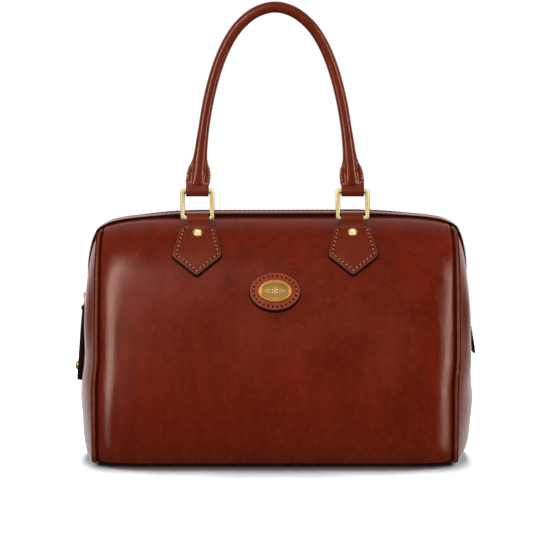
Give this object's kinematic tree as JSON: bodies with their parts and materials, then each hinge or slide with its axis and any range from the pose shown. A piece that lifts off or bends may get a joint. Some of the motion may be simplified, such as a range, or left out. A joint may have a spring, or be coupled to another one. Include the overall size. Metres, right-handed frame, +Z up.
{
  "type": "bowling bag",
  "caption": "Soft leather bowling bag with piped end seams, a zip over the top, rolled handles on brass rings with riveted tabs, and an oval plate on the front.",
  "frame": {"origin": "centre of the flat base, on the floor", "axes": "+Z up, -Y out of the front with the oval plate, +X to the right of a viewer in front"},
  "size_m": [0.3304, 0.1773, 0.373],
  "materials": {
    "leather": "glossy vegetable-tanned leather",
    "leather_trim": "glossy vegetable-tanned leather with dark raw edges",
    "brass": "polished",
    "zip_cloth": "woven tape"
  },
  "bodies": {
    "bag": {"front_panel": "leather", "back_panel": "leather", "base_panel": "leather", "left_gusset": "leather", "right_gusset": "leather", "left_piping": "leather_trim", "right_piping": "leather_trim", "front_zip_strip": "leather_trim", "back_zip_strip": "leather_trim", "zip_tape": "zip_cloth", "zip_chain": "brass", "zip_slider": "brass", "zip_pull_link": "brass", "zip_pull": "leather_trim", "zip_pull_rivet": "brass", "zip_end_tab": "leather_trim", "front_left_tab": "leather_trim", "front_right_tab": "leather_trim", "back_left_tab": "leather_trim", "back_right_tab": "leather_trim", "front_left_rivet": "brass", "front_right_rivet": "brass", "back_left_rivet": "brass", "back_right_rivet": "brass", "badge_patch": "leather_trim", "badge_plate": "brass"},
    "front_rings": {"front_left_ring": "brass", "front_right_ring": "brass"},
    "front_grip": {"front_handle": "leather_trim"},
    "back_rings": {"back_left_ring": "brass", "back_right_ring": "brass"},
    "back_grip": {"back_handle": "leather_trim"}
  },
  "joints": [
    {"name": "front_rings_swing", "type": "hinge", "parent": "bag", "child": "front_rings", "pos_m": [0, -0.03058, 0.19802], "axis": [1, 0, 0], "range_deg": [-5, 105]},
    {"name": "front_handle_swing", "type": "hinge", "parent": "front_rings", "child": "front_grip", "pos_m": [0, -0.03058, 0.22022], "axis": [1, 0, 0], "range_deg": [-3, 55]},
    {"name": "back_rings_swing", "type": "hinge", "parent": "bag", "child": "back_rings", "pos_m": [0, 0.03058, 0.19802], "axis": [1, 0, 0], "range_deg": [0, 110]},
    {"name": "back_handle_swing", "type": "hinge", "parent": "back_rings", "child": "back_grip", "pos_m": [0, 0.05202, 0.19227], "axis": [1, 0, 0], "range_deg": [0, 60]}
  ]
}
